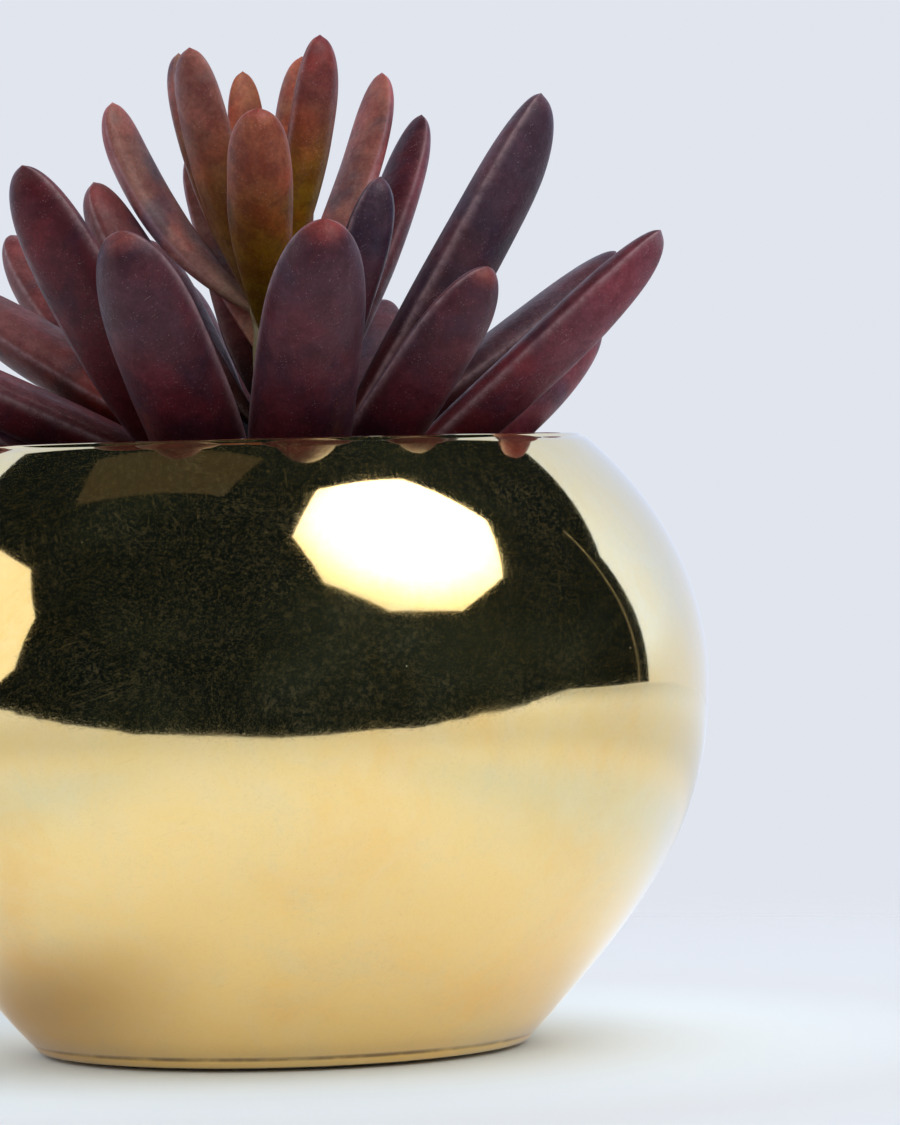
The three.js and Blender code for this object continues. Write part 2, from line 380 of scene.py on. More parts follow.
def brass_colour(shader, place, stain, dust):
    """Golden brass with orange, cream and olive patches, pale dust, and painted shade of dark brown in the
    groove by the base.
    """
    patches = shader.ramp(shader.noise(place, 24, 5, 0.6, 0.6), 0.45, 0.72)
    clouds = shader.ramp(shader.noise(place, 9, 6, 0.7, 1.2), 0.35, 0.75)
    colour = shader.blend(patches, (0.93, 0.69, 0.26), (0.93, 0.62, 0.19))
    colour = shader.blend(shader.times(clouds, 0.45), colour, (0.92, 0.73, 0.37))
    colour = shader.blend(dust, colour, srgb(205, 200, 180))
    # Painted shade: the brass is darkened brown along the groove by the base, standing in for the dark
    # contact line where the pot meets the floor.
    from_groove = shader.size(shader.math("SUBTRACT", shader.axis(place, "Z"), GROOVE_HEIGHT))
    patchy = shader.ramp(shader.noise(place, 6, 4, 0.6), 0.3, 0.6, 0.3, 0.8)
    groove_shade = shader.times(shader.ramp(from_groove, 0.10, 0.42, 1, 0), patchy)
    colour = shader.blend(groove_shade, colour, srgb(92, 62, 30))
    return shader.blend(shader.times(stain, 0.35), colour, (0.74, 0.68, 0.42))


def brass_material():
    """Hand-polished and lacquered brass: a mirror with scratches, ripples, a thin haze and specks of dust."""
    shader = new_material("polished_brass", Metallic=1.0, Coat_Weight=1.0, Coat_IOR=1.6, Coat_Roughness=0.04)
    place = shader.position()
    hairlines = hairline_scratches(shader)
    stain = shader.ramp(shader.noise(place, 17, 7, 0.72, 0.5), 0.44, 0.75)
    specks = shader.ramp(shader.cells(place, 1.1), 0.04, 0.09, 1, 0)
    dust = shader.times(specks, shader.ramp(shader.noise(place, 1.8, 3, 0.7), 0.56, 0.80))
    smudge = shader.ramp(shader.noise(place, 14, 6, 0.65, 0.8), 0.40, 0.78)
    roughness = shader.plus(shader.times(smudge, 0.045), 0.035)
    roughness = shader.plus(roughness, shader.times(hairlines, 0.06))
    roughness = shader.plus(roughness, shader.times(dust, 0.5))
    pitted = shader.ramp(shader.noise(place, 0.7, 4, 0.75), 0.46, 0.72)
    film = shader.times(shader.plus(stain, 0.35), shader.times(pitted, 0.065))
    film = shader.plus(film, shader.times(hairlines, 0.07))
    bare = shader.math("SUBTRACT", 1.0, shader.math("MAXIMUM", film, shader.times(dust, 0.8)))
    normal = shader.bump(shader.noise(place, 2.6, 3, 0.55), 0.0035)
    normal = shader.bump(shader.noise(place, 0.35, 2, 0.5), 0.0006, normal)
    normal = shader.bump(hairlines, 0.0005, normal)
    colour = brass_colour(shader, place, stain, dust)
    shader.set(Base_Color=colour, Roughness=roughness, Metallic=bare, Normal=normal)
    return shader.owner


def leaf_colour(shader, place, fine, pores):
    """The mesh's own tint, with flushes, mottling, waxy bloom, pores, scuffs and pale edges over it; the pale
    edges are partly the leaf's own rim and partly a painted highlight.
    """
    tint = shader.attribute("tint", "Color")
    flush = shader.ramp(shader.noise(place, 9, 3, 0.5), 0.46, 0.66)
    tint = shader.blend(shader.times(flush, 0.85), tint, shader.tinted(tint, (1.4, 0.94, 0.92)))
    dusky = shader.ramp(shader.noise(shader.position((1.3, 1, 0.8), (40, 10, 70)), 8, 3, 0.5), 0.50, 0.70)
    tint = shader.blend(shader.times(dusky, 0.8), tint, shader.tinted(tint, (0.5, 0.8, 1.15)))
    mottle = shader.ramp(shader.noise(place, 3.2, 6, 0.62, 0.4), 0.62, 0.36)
    colour = shader.blend(mottle, tint, shader.tinted(tint, (0.72, 0.58, 0.62)))
    colour = shader.tinted(colour, shader.grey(shader.ramp(fine, 0.35, 0.7, 0.86, 1.12)))
    wax = shader.ramp(shader.noise(place, 5.5, 7, 0.7, 0.8), 0.36, 0.66, 0.35, 1.0)
    colour = shader.blend(shader.times(shader.attribute("bloom"), wax), colour, srgb(104, 104, 128))
    colour = shader.blend(shader.times(pores, 0.22), colour, srgb(196, 178, 182))
    along = shader.noise(shader.position((9, 0.16, 0.16), (20, 30, 10)), 1, 2)
    across = shader.noise(shader.position((0.16, 0.16, 7), (10, -25, 40)), 1, 2)
    scuffs = shader.math("MAXIMUM", shader.ramp(along, 0.70, 0.78), shader.ramp(across, 0.71, 0.78))
    colour = shader.blend(shader.times(scuffs, 0.30), colour, srgb(186, 166, 170))
    # The pale margins are partly the leaf's own pale rim and partly a painted highlight along the edges.
    edge_breakup = shader.ramp(shader.noise(place, 1.5, 5, 0.7), 0.30, 0.62, 0.35, 1)
    pale = shader.times(shader.times(shader.attribute("edge"), edge_breakup), 0.52)
    return shader.blend(pale, colour, srgb(170, 142, 146))


def leaf_material():
    """A waxy leaf with soft flesh under a thin dull skin, dimpled and finely grained."""
    shader = new_material("waxy_leaf", Specular_IOR_Level=0.2, Coat_Weight=0.06, Coat_Roughness=0.2)
    shader.set(Subsurface_Weight=0.15, Subsurface_Scale=0.004, Subsurface_Radius=(1.0, 0.3, 0.2))
    shader.set(Sheen_Weight=0.05, Sheen_Roughness=0.35, Sheen_Tint=(0.75, 0.78, 1.0))
    place = shader.position()
    fine = shader.noise(place, 0.55, 4, 0.6)
    pores = shader.ramp(shader.cells(place, 0.42), 0.10, 0.22, 1, 0)
    pores = shader.times(pores, shader.ramp(shader.noise(place, 2.2, 3), 0.44, 0.60))
    roughness = shader.ramp(shader.noise(place, 2.4, 5, 0.6), 0.3, 0.7, 0.40, 0.56)
    normal = shader.bump(shader.noise(place, 1.3, 5, 0.62), 0.13)
    normal = shader.bump(fine, 0.05, normal)
    normal = shader.bump(pores, 0.03, normal)
    colour = leaf_colour(shader, place, fine, pores)
    shader.set(Base_Color=colour, Roughness=roughness, Normal=normal)
    return shader.owner


def stem_material():
    """A pale green stem with brown scars and lengthwise fibres."""
    shader = new_material("green_stem", Roughness=0.55, Subsurface_Weight=0.1, Subsurface_Scale=0.002)
    place = shader.position()
    fibres = shader.noise(shader.position((0.35, 0.35, 6)), 1, 4, 0.6)
    colour = shader.blend(shader.ramp(fibres, 0.35, 0.7), srgb(146, 138, 92), srgb(176, 164, 128))
    scars = shader.ramp(shader.noise(place, 1.6, 4, 0.6), 0.56, 0.68)
    colour = shader.blend(shader.times(scars, 0.6), colour, srgb(104, 78, 52))
    shader.set(Base_Color=colour, Normal=shader.bump(fibres, 0.12))
    return shader.owner


def plastic_material():
    """Thin moulded black plastic with fine grain, dusty with dried soil."""
    shader = new_material("moulded_plastic")
    place = shader.position()
    dusty = shader.ramp(shader.noise(place, 7, 6, 0.7), 0.5, 0.8)
    colour = shader.blend(shader.times(dusty, 0.35), srgb(34, 34, 36), srgb(92, 80, 66))
    streaks = shader.noise(shader.position((1.2, 1.2, 30)), 1, 3)
    normal = shader.bump(shader.noise(place, 0.5, 3), 0.03)
    shader.set(Base_Color=colour, Roughness=shader.ramp(streaks, 0.3, 0.7, 0.42, 0.62), Normal=normal)
    return shader.owner


def soil_material():
    """Dark crumbly potting soil with bark fibres."""
    shader = new_material("potting_soil", Roughness=0.95)
    place = shader.position()
    crumbs = shader.cells(place, 1.6)
    colour = shader.blend(shader.ramp(crumbs, 0.1, 0.7), srgb(66, 50, 38), srgb(30, 22, 17))
    fibre = shader.ramp(shader.noise(shader.position((4, 0.5, 0.5), (0, 0, 35)), 1, 3), 0.62, 0.7)
    colour = shader.blend(shader.times(fibre, 0.7), colour, srgb(112, 84, 58))
    normal = shader.bump(shader.plus(crumbs, shader.noise(place, 0.6, 4)), 0.5)
    shader.set(Base_Color=colour, Normal=normal)
    return shader.owner


def grit_material():
    """Pumice and bark chips, each stone with its own shade."""
    shader = new_material("grit", Roughness=0.85)
    place = shader.position()
    shade = shader.attribute("shade")
    colour = shader.blend(shade, srgb(96, 76, 58), srgb(188, 178, 160))
    spots = shader.ramp(shader.noise(place, 0.5, 5, 0.7), 0.5, 0.66)
    colour = shader.blend(shader.times(spots, 0.5), colour, srgb(78, 64, 52))
    shader.set(Base_Color=colour, Normal=shader.bump(shader.noise(place, 0.35, 4), 0.12))
    return shader.owner


# --------------------------------------------------------------------------------------------------
# Shapes
# --------------------------------------------------------------------------------------------------


def add_piece(name, mesh, material, body, slot, *nodes):
    mesh.materials.append(material)
    piece = bpy.data.objects.new(name, mesh)
    bpy.context.scene.collection.objects.link(piece)
    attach(piece, body)
    if nodes:
        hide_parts(*nodes)
    return piece


def grid_mesh(name, rings):
    """A smooth skin over rings of points, each ring closed on itself, with both ends closed to a point."""
    count = len(rings[0])
    points = [p for ring in rings for p in ring]
    faces = []
    for i in range(len(rings) - 1):
        here, there = i * count, (i + 1) * count
        for j in range(count):
            k = (j + 1) % count
            faces.append((here + j, here + k, there + k, there + j))
    first, last = (sum((Vector(p) for p in rings[i]), Vector()) / count for i in (0, -1))
    points += [first, last]
    tail = (len(rings) - 1) * count
    for j in range(count):
        k = (j + 1) % count
        faces.append((len(points) - 2, k, j))
        faces.append((len(points) - 1, tail + j, tail + k))
    mesh = bpy.data.meshes.new(name)
    mesh.from_pydata(points, [], faces)
    turned_out = bmesh.new()
    turned_out.from_mesh(mesh)
    bmesh.ops.recalc_face_normals(turned_out, faces=turned_out.faces)
    turned_out.to_mesh(mesh)
    turned_out.free()
    mesh.shade_smooth()
    return mesh


def turned_mesh(name, profile, segments, offset=None):
    """Turns a profile of (radius, height) points in millimetres, both ends near the axis, round it."""
    rings = []
    for index, (radius, height) in enumerate(profile):
        ring = []
        for j in range(segments):
            angle = 2 * math.pi * j / segments
            r = radius + (offset(angle, height) if offset and index else 0)
            ring.append((r * math.cos(angle) * MM, r * math.sin(angle) * MM, height * MM))
        rings.append(ring)
    return grid_mesh(name, rings)


# Brass pot ----------------------------------------------------------------------------------------

pot_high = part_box("brass_pot")[1]
POT_HEIGHT = pot_high.z / MM
BELLY_RADIUS = pot_high.x / MM
BELLY_HEIGHT = 50
RIM_RADIUS = 43.2
BASE_RADIUS = 34
BASE_EDGE_LIFT = 0.6
FOOT_RADIUS = 30.5
BRASS_WALL = 1.6
LIP_RISE = 0.5
LIP_FOOT = POT_HEIGHT - LIP_RISE


def bezier(points, share):
    """A point on the cubic curve of four control points."""
    weights = ((1 - share) ** 3, 3 * share * (1 - share) ** 2, 3 * share**2 * (1 - share), share**3)
    return tuple(sum(w * p[i] for w, p in zip(weights, points)) for i in (0, 1))


POT_CONTROLS = (
    (BASE_RADIUS, BASE_EDGE_LIFT),
    (BASE_RADIUS + 16.5, BASE_EDGE_LIFT + 17.6),
    (BELLY_RADIUS, BELLY_HEIGHT - 20.5),
    (BELLY_RADIUS, BELLY_HEIGHT),
)


GROOVE_SHARE = 0.022
GROOVE_HEIGHT = bezier(POT_CONTROLS, GROOVE_SHARE)[1]


def pot_outline(steps):
    """The outer wall from base edge to rim: a flaring curve, then an ellipse that closes in to the mouth."""
    lower = [bezier(POT_CONTROLS, i / steps) for i in range(steps) if i == 0 or i / steps > 0.05]
    rim_angle = math.acos(RIM_RADIUS / BELLY_RADIUS)
    ellipse_height = (POT_HEIGHT - BELLY_HEIGHT) / math.sin(rim_angle)
    upper = []
    for i in range(steps + 1):
        angle = rim_angle * i / steps
        upper.append((BELLY_RADIUS * math.cos(angle), BELLY_HEIGHT + ellipse_height * math.sin(angle)))
    return lower + upper


def inset(points, distance):
    """The same line moved in by the wall's thickness, square to itself."""
    moved = []
    for i, (radius, height) in enumerate(points):
        (r0, z0), (r1, z1) = points[max(i - 1, 0)], points[min(i + 1, len(points) - 1)]
        length = math.hypot(r1 - r0, z1 - z0)
        moved.append((radius - (z1 - z0) / length * distance, height + (r1 - r0) / length * distance))
    return moved


def hammered(angle, height):
    """The hand-made wall's shallow waves, in millimetres, always inwards."""
    on_wall = smoothstep(1, 8, height)
    place = Vector((math.cos(angle), math.sin(angle), height / 60))
    broad = noise.noise(place * 1.7 + Vector((3.1, 0, 0)))
    waves = noise.noise(place * 4.6 + Vector((0, 7.7, 0)))
    return on_wall * (0.10 * (broad - 0.6) + 0.035 * (waves - 0.6))


def rim_lip():
    """The cut edge of the mouth, rounded over from outside to inside."""
    middle = RIM_RADIUS - BRASS_WALL / 2
    steps = 6
    lip = []
    for i in range(1, steps):
        angle = math.pi * i / steps
        lip.append((middle + BRASS_WALL / 2 * math.cos(angle), LIP_FOOT + LIP_RISE * math.sin(angle)))
    return lip


def brass_bowl():
    """A flat foot, a base edge a little off the floor, a groove, the wall, the lip and the inside."""
    outer = pot_outline(44)
    inner = [p for p in inset(outer, BRASS_WALL) if BRASS_WALL * 1.5 < p[1] < POT_HEIGHT - 0.6]
    outer[-1] = (outer[-1][0], LIP_FOOT)
    radius, height = bezier(POT_CONTROLS, GROOVE_SHARE)
    outer[1:1] = [(radius - 0.35, height - 0.28), (radius - 0.30, height), (radius + 0.12, height + 0.16)]
    foot = [(0.01, 0), (FOOT_RADIUS * 0.5, 0), (FOOT_RADIUS - 0.3, 0), (FOOT_RADIUS, 0.02)]
    edge = [(BASE_RADIUS - 0.9, BASE_EDGE_LIFT - 0.18), (BASE_RADIUS - 0.25, BASE_EDGE_LIFT - 0.08)]
    floor_edge = BASE_RADIUS - 2 * BRASS_WALL
    floor = [(floor_edge + 0.6, BRASS_WALL + 0.35), (floor_edge, BRASS_WALL), (floor_edge * 0.5, BRASS_WALL)]
    profile = [*foot, *edge, *outer, *rim_lip(), *reversed(inner), *floor, (0.01, BRASS_WALL)]
    mesh = turned_mesh("brass_bowl", profile, 288, hammered)
    add_piece("brass_bowl", mesh, brass_material(), "pot", "brass", "brass_pot")


# Grow pot and soil --------------------------------------------------------------------------------

grow_low, grow_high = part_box("grow_pot")
soil_low, soil_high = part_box("soil")
GROW_FLOOR = grow_low.z / MM
GROW_HEIGHT = (grow_high.z - grow_low.z) / MM
GROW_LIP_RADIUS = grow_high.x / MM
GROW_TOP_RADIUS = 33
GROW_BOTTOM_RADIUS = 24
GROW_WALL = 0.9
GROW_LIP_HEIGHT = 4
DRAIN_RADIUS = 2.5
DRAIN_CIRCLE_RADIUS = 14
DRAIN_COUNT = 4
SOIL_EDGE = soil_high.x / MM - 0.1
STONE_COUNT = 330


def grow_pot_profile():
    """The grow pot's section: a raised floor inside a foot ring, a moulded ring half way up, and a lip."""
    lip_foot = GROW_HEIGHT - GROW_LIP_HEIGHT
    slope = (GROW_TOP_RADIUS - GROW_BOTTOM_RADIUS) / (lip_foot - 1)
    ring = lip_foot * 0.55
    ring_radius = GROW_BOTTOM_RADIUS + slope * (ring - 1)
    foot = [
        (0.01, 0.6),
        (10, 0.6),
        (GROW_BOTTOM_RADIUS - 3, 0.6),
        (GROW_BOTTOM_RADIUS - 2.4, 0),
        (GROW_BOTTOM_RADIUS - 1, 0),
        (GROW_BOTTOM_RADIUS - 0.3, 0.3),
        (GROW_BOTTOM_RADIUS, 1),
    ]
    moulding = [
        (ring_radius - 0.05, ring),
        (ring_radius + 0.35, ring + 0.4),
        (ring_radius + 0.35, ring + 1.6),
        (ring_radius + 0.2, ring + 2),
    ]
    lip = [
        (GROW_TOP_RADIUS - 0.2, lip_foot - 0.4),
        (GROW_TOP_RADIUS, lip_foot),
        (GROW_LIP_RADIUS - 0.5, lip_foot),
        (GROW_LIP_RADIUS, lip_foot + 0.4),
        (GROW_LIP_RADIUS, GROW_HEIGHT - 0.9),
        (GROW_LIP_RADIUS - 0.4, GROW_HEIGHT - 0.2),
        (GROW_LIP_RADIUS - 1, GROW_HEIGHT),
        (GROW_TOP_RADIUS + 0.4, GROW_HEIGHT),
        (GROW_TOP_RADIUS, GROW_HEIGHT - 0.4),
    ]
    inside = [
        (GROW_TOP_RADIUS - GROW_WALL, lip_foot),
        (GROW_BOTTOM_RADIUS - GROW_WALL, 1.5),
        (10, 1.5),
        (0.01, 1.5),
    ]
    return [(radius, height + GROW_FLOOR) for radius, height in foot + moulding + lip + inside]


def drill_bits():
    """Upright cylinders where the drain holes go: one in the middle and the rest around it."""
    bits = bmesh.new()
    centres = [(0, 0)]
    for i in range(DRAIN_COUNT):
        angle = 2 * math.pi * i / DRAIN_COUNT
        centres.append((DRAIN_CIRCLE_RADIUS * math.cos(angle), DRAIN_CIRCLE_RADIUS * math.sin(angle)))
    radius = DRAIN_RADIUS * MM
    for x, y in centres:
        place = Matrix.Translation((x * MM, y * MM, GROW_FLOOR * MM))
        bmesh.ops.create_cone(
            bits, cap_ends=True, segments=32, radius1=radius, radius2=radius, depth=6 * MM, matrix=place
        )
    mesh = bpy.data.meshes.new("drills")
    bits.to_mesh(mesh)
    bits.free()
    drill = bpy.data.objects.new("drills", mesh)
    bpy.context.scene.collection.objects.link(drill)
    return drill


def grow_pot():
    """A tapered nursery pot with drain holes cut through its floor."""
    mesh = turned_mesh("grow_pot_shell", grow_pot_profile(), 128)
    shell = add_piece("grow_pot_shell", mesh, plastic_material(), "plant", "black_plastic", "grow_pot")
    drill = drill_bits()
    cut = shell.modifiers.new("drain_holes", "BOOLEAN")
    cut.object = drill
    cut.solver = "EXACT"
    view = bpy.context.evaluated_depsgraph_get()
    drilled = bpy.data.meshes.new_from_object(shell.evaluated_get(view))
    shell.modifiers.clear()
    shell.data = drilled
    bpy.data.objects.remove(drill)


def soil_height(x, y):
    """The soil's surface in millimetres: a low mound with lumps."""
    reach = math.hypot(x, y)
    top, side = soil_high.z / MM, soil_high.z / MM - 2
    mound = mix(top, side, smoothstep(3, GROW_TOP_RADIUS, reach))
    lumps = noise.noise(Vector((x, y, 0)) / 5) * 0.9 + noise.noise(Vector((x, y, 9)) / 1.9) * 0.45
    return mound - 0.5 + lumps * smoothstep(3, 7, reach)


def soil_bed():
    """The soil as one lumpy solid."""
    low = soil_low.z / MM
    top = soil_high.z / MM
    segments, steps = 96, 30
    angles = [2 * math.pi * j / segments for j in range(segments)]
    rings = []
    for radius, height in ((0.01, low), (GROW_BOTTOM_RADIUS - 2, low), (SOIL_EDGE, top - 4)):
        rings.append([(radius * math.cos(a) * MM, radius * math.sin(a) * MM, height * MM) for a in angles])
    for i in range(steps):
        radius = mix(SOIL_EDGE, 0.05, i / (steps - 1))
        ring = []
        for angle in angles:
            x, y = radius * math.cos(angle), radius * math.sin(angle)
            ring.append((x * MM, y * MM, soil_height(x, y) * MM))
        rings.append(ring)
    add_piece("soil_bed", grid_mesh("soil_bed", rings), soil_material(), "plant", "soil", "soil")


def grit():
    """The stones and bark chips that lie on the soil."""
    chance = random.Random(11)
    stones = bmesh.new()
    shade = stones.verts.layers.float.new("shade")
    for _ in range(STONE_COUNT):
        reach = (SOIL_EDGE - 1.6) * math.sqrt(chance.uniform(0.02, 1))
        angle = chance.uniform(0, 2 * math.pi)
        x, y = reach * math.cos(angle), reach * math.sin(angle)
        size = chance.uniform(0.5, 1.35)
        squash = Matrix.Diagonal((size, size * chance.uniform(0.6, 1), size * chance.uniform(0.4, 0.8), 1))
        tumble = Matrix.Rotation(chance.uniform(0, 6.28), 4, (chance.random(), chance.random(), 1))
        place = Matrix.Translation((x, y, soil_height(x, y) + size * 0.15))
        stone = bmesh.ops.create_icosphere(stones, subdivisions=2, radius=1)["verts"]
        tone = chance.random() ** 1.5
        for vert in stone:
            rough = 1 + 0.22 * noise.noise(vert.co * 1.6 + Vector((x, y, 3)))
            vert.co = place @ tumble @ squash @ (vert.co * rough) * MM
            vert[shade] = tone
    mesh = bpy.data.meshes.new("grit")
    stones.to_mesh(mesh)
    stones.free()
    mesh.shade_smooth()
    add_piece("grit", mesh, grit_material(), "plant", "soil")


# Plant --------------------------------------------------------------------------------------------

stem_low, stem_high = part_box("stem")
STEM_FOOT_HEIGHT = stem_low.z / MM
STEM_TOP_HEIGHT = stem_high.z / MM - 0.5
STEM_FOOT_RADIUS = 2.9
STEM_TOP_RADIUS = 1.5

# The same leaves as the CAD model's: azimuth, height of the base on the stem, rise above the horizontal,
# length, width, bend and twist, and then the leaf's colouring. upper_face_from is the share of the length
# at which the upper face's own colour starts.
TIERS = {
    "lower": {
        "thickness": 0.68,
        "base_share": 0.24,
        "upper_face_from": 0.35,
        "slot": "leaf_purple",
        "leaves": [
            (-80, 56.5, 52, 71, 14.4, 4, 0, "plum"),
            (-115, 61.5, 50, 65.5, 14.2, 6, 0, "plum"),
            (-50, 64, 44, 60.5, 11.6, 0, 0, "plum"),
            (-142, 66.5, 55, 67, 13.4, 6, 0, "wine"),
            (-176, 76, 25, 52, 11.4, 4, 8, "wine"),
            (161, 79.5, 31.5, 52, 11.5, 4, 14, "rust"),
            (139, 67, 46, 66, 11.6, 4, 0, "rust"),
            (-12, 70, 58.5, 71, 13.4, 4, 0, "slate"),
            (-13, 65, 41, 70.5, 11.2, 2, 0, "magenta"),
            (16, 61, 40, 60.5, 10.5, 6, 0, "magenta"),
            (22, 75.5, 33.5, 62, 9.5, 4, 0, "slate"),
            (68, 60.5, 45, 62, 11, 4, 0, "slate"),
            (43, 64.5, 44, 52, 10.5, 4, 0, "wine"),
            (96, 57.5, 43, 60, 12, 4, 0, "plum"),
            (110, 69.5, 46, 54, 10.5, 6, 0, "wine"),
            (140, 56.5, 41, 54, 11, 4, 0, "plum"),
            (173, 57, 39.5, 54, 10.2, 4, 0, "wine"),
        ],
    },
    "middle": {
        "thickness": 0.66,
        "base_share": 0.24,
        "upper_face_from": 0.1,
        "slot": "leaf_red",
        "leaves": [
            (36, 80.5, 62, 55.5, 8.4, 8, 0, "magenta"),
            (-37, 80.5, 65, 43, 8.8, 10, 0, "slate"),
            (170, 86.5, 57, 40.5, 10, 14, 20, "rust"),
            (124, 79.5, 50, 44, 9.5, 10, 0, "wine"),
            (82, 75.5, 48, 46, 9.5, 10, 0, "wine"),
            (104, 88.5, 52, 36, 8.6, 10, 0, "rust"),
            (62, 90.5, 50, 28, 7.4, 10, 0, "rust"),
        ],
    },
    "crown": {
        "thickness": 0.6,
        "base_share": 0.24,
        "upper_face_from": -0.1,
        "slot": "leaf_olive",
        "leaves": [
            (-91, 99.5, 55, 35.5, 9, 10, 0, "olive"),
            (-132, 102, 70, 38, 8.2, 10, 0, "bronze"),
            (155, 102, 54, 37.5, 8, 40, 12, "blush"),
            (153, 103, 72, 37, 7.4, 12, 0, "bronze"),
            (119, 96.5, 60, 34, 7.6, 12, 0, "blush"),
            (120, 105.5, 83, 30, 5.6, 4, 0, "orange"),
            (102, 102.5, 70, 30, 7, 10, 0, "orange"),
            (52, 103.5, 76, 35, 7.4, 10, 0, "orange"),
            (-34, 103.5, 76, 37, 8.4, 8, 0, "crimson"),
            (38, 98.5, 61, 42.5, 7.6, 28, 0, "blush"),
            (76, 96.5, 56, 30, 7.4, 12, 0, "bronze"),
        ],
    },
}

# Each colouring: the root, the body, below the tip, the very tip, the upper face, and the strength of bloom.
# The dark roots of the red and purple colourings are painted shade near the stem.
COLOURINGS = {
    "plum": ((24, 6, 5), (88, 21, 25), (76, 38, 48), (140, 66, 56), (106, 56, 66), 0.07),
    "wine": ((20, 4, 4), (80, 20, 22), (84, 28, 36), (124, 64, 56), (124, 74, 80), 0.04),
    "magenta": ((42, 13, 11), (94, 28, 31), (116, 58, 70), (132, 104, 110), (84, 38, 44), 0.05),
    "slate": ((52, 26, 22), (72, 29, 32), (70, 46, 60), (100, 64, 74), (98, 70, 78), 0.09),
    "rust": ((34, 10, 5), (92, 30, 18), (108, 46, 40), (118, 70, 66), (126, 76, 76), 0.03),
    "olive": ((120, 98, 6), (126, 86, 12), (150, 82, 56), (160, 78, 68), (140, 88, 64), 0.02),
    "crimson": ((138, 118, 10), (138, 98, 10), (122, 60, 54), (126, 58, 64), (132, 80, 64), 0.02),
    "bronze": ((120, 98, 50), (126, 82, 32), (136, 82, 70), (152, 94, 86), (150, 110, 82), 0.03),
    "blush": ((164, 140, 112), (204, 152, 148), (146, 78, 76), (170, 108, 106), (152, 108, 92), 0.04),
    "orange": ((150, 114, 24), (186, 110, 48), (186, 104, 76), (182, 104, 88), (168, 110, 78), 0.02),
}

LEAF_PEAK = 0.6
LEAF_UPPER_SHARE = 0.34
LEAF_BLUNTNESS = 3.6
LEAF_AROUND = 56
LEAF_ALONG = 84
MUCRO_LENGTH = 0.2
MUCRO_RADIUS = 0.12


def stem_radius(height):
    share = (height - STEM_FOOT_HEIGHT) / (STEM_TOP_HEIGHT - STEM_FOOT_HEIGHT)
    return mix(STEM_FOOT_RADIUS, STEM_TOP_RADIUS, share**2)


def leaf_outline(t, base_share):
    """Half width of a leaf as a share of its greatest, at a share t of its length."""
    widening = math.sin(math.pi / 2 * min(1, t / LEAF_PEAK))
    closing = max(0, (t - LEAF_PEAK) / (1 - LEAF_PEAK))
    return (base_share + (1 - base_share) * widening) * math.sqrt(max(0, 1 - closing**LEAF_BLUNTNESS))


def leaf_section(around):
    """A leaf's cross-section at an angle: shares of half width and thickness, and how far up it faces."""
    angle = around - 0.2 * math.sin(2 * around)
    side, rise = math.cos(angle), math.sin(angle)
    fullness = 1 - abs(side) ** 2
    if rise > 0:
        return side, LEAF_UPPER_SHARE * (fullness**0.62 - 0.10 * fullness**4), rise
    return side, -(1 - LEAF_UPPER_SHARE) * fullness**0.60 * (1 + 0.05 * fullness**6), rise


def leaf_tint(t, on_top, colours, upper_face_from):
    """The colour at a share t of the length, from under the leaf (on_top is 0) to its upper face (1)."""
    root, body, below_tip, tip, upper_face = colours
    # Painted shade: in the red and purple colourings the dark root colour darkens the leaf towards the stem.
    tint = mix_colours(root, body, smoothstep(0.02, 0.42, t))
    tint = mix_colours(tint, below_tip, smoothstep(0.4, 0.85, t))
    tint = mix_colours(tint, tip, 0.7 * smoothstep(0.965, 0.998, t))
    share = 0.75 * on_top * smoothstep(upper_face_from, upper_face_from + 0.5, t)
    return (*mix_colours(tint, upper_face, share), 1)


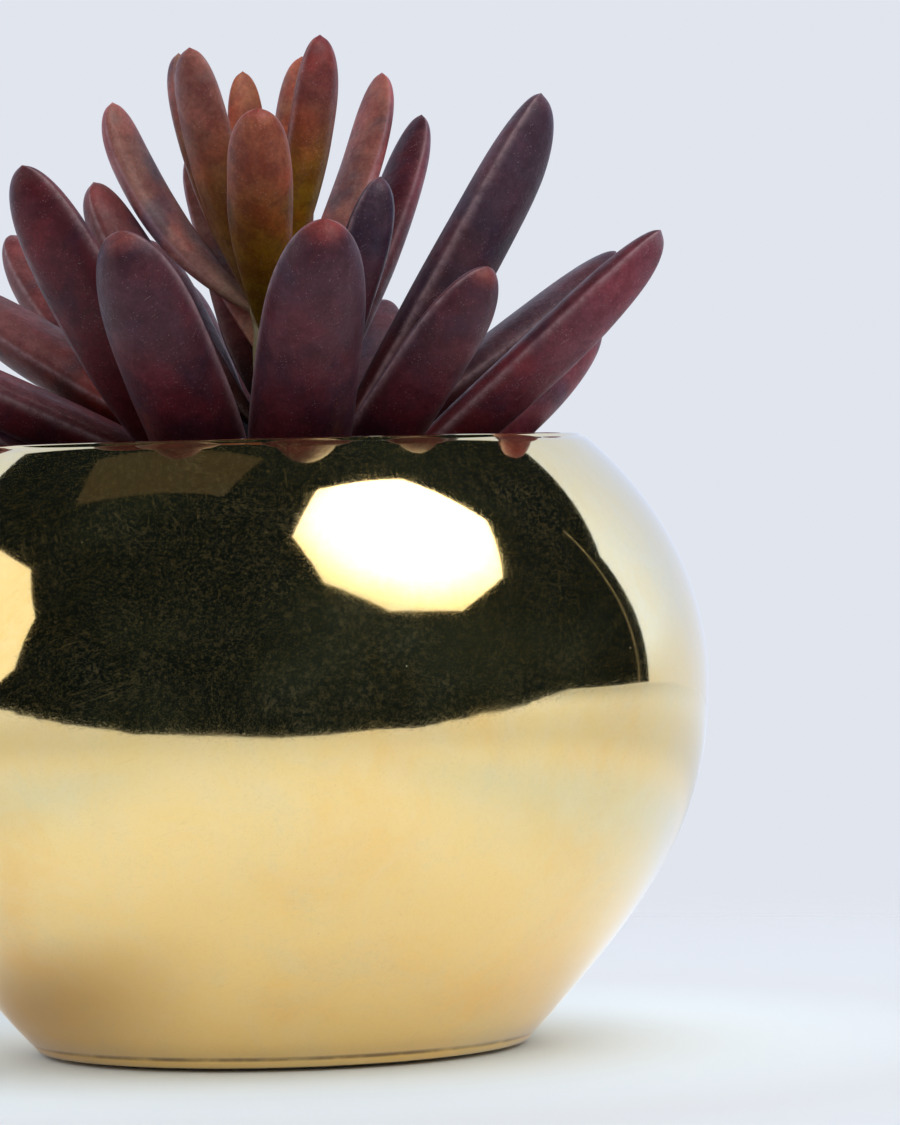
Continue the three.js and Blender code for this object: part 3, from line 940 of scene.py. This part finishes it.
def leaf_mesh(name, row, shape, seed):
    """A fleshy leaf: an arc that rises from the stem, skinned with keeled sections that end in a point."""
    azimuth, base, rise, length, width, bend, twist, colouring = row
    *colours, bloom_strength = COLOURINGS[colouring]
    colours = [srgb(*c) for c in colours]
    start = math.radians(rise - bend / 2)
    curve = math.radians(max(bend, 0.01)) / length
    turn = math.radians(twist)
    inner = stem_radius(base) - 0.4
    chance = random.Random(seed)
    sway = chance.uniform(-0.5, 0.5)
    swell = Vector((chance.random(), chance.random(), chance.random())) * 50
    rings, tints, edges, blooms = [], [], [], []
    for i in range(LEAF_ALONG + 1):
        share = i / LEAF_ALONG
        t = share * (1.75 - 0.75 * share) if share < 1 else 1.0
        if i == LEAF_ALONG:
            reach_along, half = length, 0.03
        else:
            reach_along = t * (length - MUCRO_LENGTH)
            half = max(width / 2 * leaf_outline(t, shape["base_share"]), MUCRO_RADIUS)
        angle = start + curve * reach_along
        out = inner + (math.sin(angle) - math.sin(start)) / curve
        height = base + (math.cos(start) - math.cos(angle)) / curve
        thickness = 2 * half * shape["thickness"]
        drift = sway * math.sin(math.pi * t) * width * 0.06
        ring = []
        for j in range(LEAF_AROUND):
            side_share, lift_share, facing = leaf_section(2 * math.pi * j / LEAF_AROUND)
            lump = noise.noise(swell + Vector((side_share * 1.2, lift_share * 1.5, t * 5))) * 0.035
            side = half * side_share * (1 + lump) + drift
            lift = thickness * lift_share * (1 + lump * 1.5)
            turned_side = side * math.cos(turn) - lift * math.sin(turn)
            turned_lift = side * math.sin(turn) + lift * math.cos(turn)
            forward = out - turned_lift * math.sin(angle)
            ring.append((forward, -turned_side, height + turned_lift * math.cos(angle)))
            on_top = smoothstep(0.0, 0.35, facing)
            tints.append(leaf_tint(t, on_top, colours, shape["upper_face_from"]))
            # The edge mask marks the margins for the pale edge colour, which is partly a painted highlight.
            edges.append(math.exp(-((facing / 0.16) ** 2)) * smoothstep(0.1, 0.35, t))
            blooms.append(bloom_strength * smoothstep(0.25, 0.75, t) * (0.6 + 0.4 * on_top))
        rings.append(ring)
    spin = Matrix.Rotation(math.radians(azimuth), 3, "Z")
    mesh = grid_mesh(name, [[spin @ Vector(p) * MM for p in ring] for ring in rings])
    paint_points(mesh, tints, edges, blooms)
    return mesh


def paint_points(mesh, tints, edges, blooms):
    """Stores a leaf's colours, how strongly its margins take the pale edge colour (partly a painted
    highlight), and how bloomed it is, at its points; the last two close its ends.
    """
    tints = [*tints, tints[0], tints[-1]]
    colours = mesh.attributes.new("tint", "FLOAT_COLOR", "POINT")
    colours.data.foreach_set("color", [c for tint in tints for c in tint])
    mesh.attributes.new("edge", "FLOAT", "POINT").data.foreach_set("value", [*edges, 0, 0])
    mesh.attributes.new("bloom", "FLOAT", "POINT").data.foreach_set("value", [*blooms, 0, 0])


def all_leaves():
    """Every leaf's name, row and tier, in the order that the CAD model numbers them."""
    for tier, shape in TIERS.items():
        for i, row in enumerate(shape["leaves"]):
            yield f"{tier}_leaf_{i + 1:02d}", row, shape


def leaves():
    skin = leaf_material()
    for seed, (node, row, shape) in enumerate(all_leaves()):
        mesh = leaf_mesh(node + "_fleshy", row, shape, seed)
        add_piece(node + "_fleshy", mesh, skin, "plant", shape["slot"], node)


def stem():
    """The stem swells into a knuckle where each leaf grows from it."""
    knuckles = []
    for _, row, _ in all_leaves():
        azimuth, base, width = math.radians(row[0]), row[1], row[4]
        knuckles.append((Vector((math.cos(azimuth), math.sin(azimuth))), base, width))
    rings, steps, segments = [], 220, 40
    for i in range(steps + 1):
        height = mix(STEM_FOOT_HEIGHT, STEM_TOP_HEIGHT + 0.4, i / steps)
        ring = []
        for j in range(segments):
            angle = 2 * math.pi * j / segments
            way = Vector((math.cos(angle), math.sin(angle)))
            radius = stem_radius(min(height, STEM_TOP_HEIGHT))
            for towards, base, width in knuckles:
                if abs(height - base) < 4:
                    near = math.exp(-(((height - base + 0.3) / 1.5) ** 2)) * max(0, way.dot(towards)) ** 4
                    radius += near * width * 0.055
            radius *= 1 + 0.05 * noise.noise(Vector((way.x * 2, way.y * 2, height * 0.5)))
            rounding = smoothstep(STEM_TOP_HEIGHT - 1, STEM_TOP_HEIGHT + 0.5, height)
            radius *= math.sqrt(max(0.02, 1 - rounding))
            ring.append((radius * way.x * MM, radius * way.y * MM, height * MM))
        rings.append(ring)
    mesh = grid_mesh("stem_knuckled", rings)
    add_piece("stem_knuckled", mesh, stem_material(), "plant", "stem", "stem")


place_camera()
make_ground()
make_table()
make_lights()
make_walls()
make_world()
brass_bowl()
grow_pot()
soil_bed()
grit()
stem()
leaves()
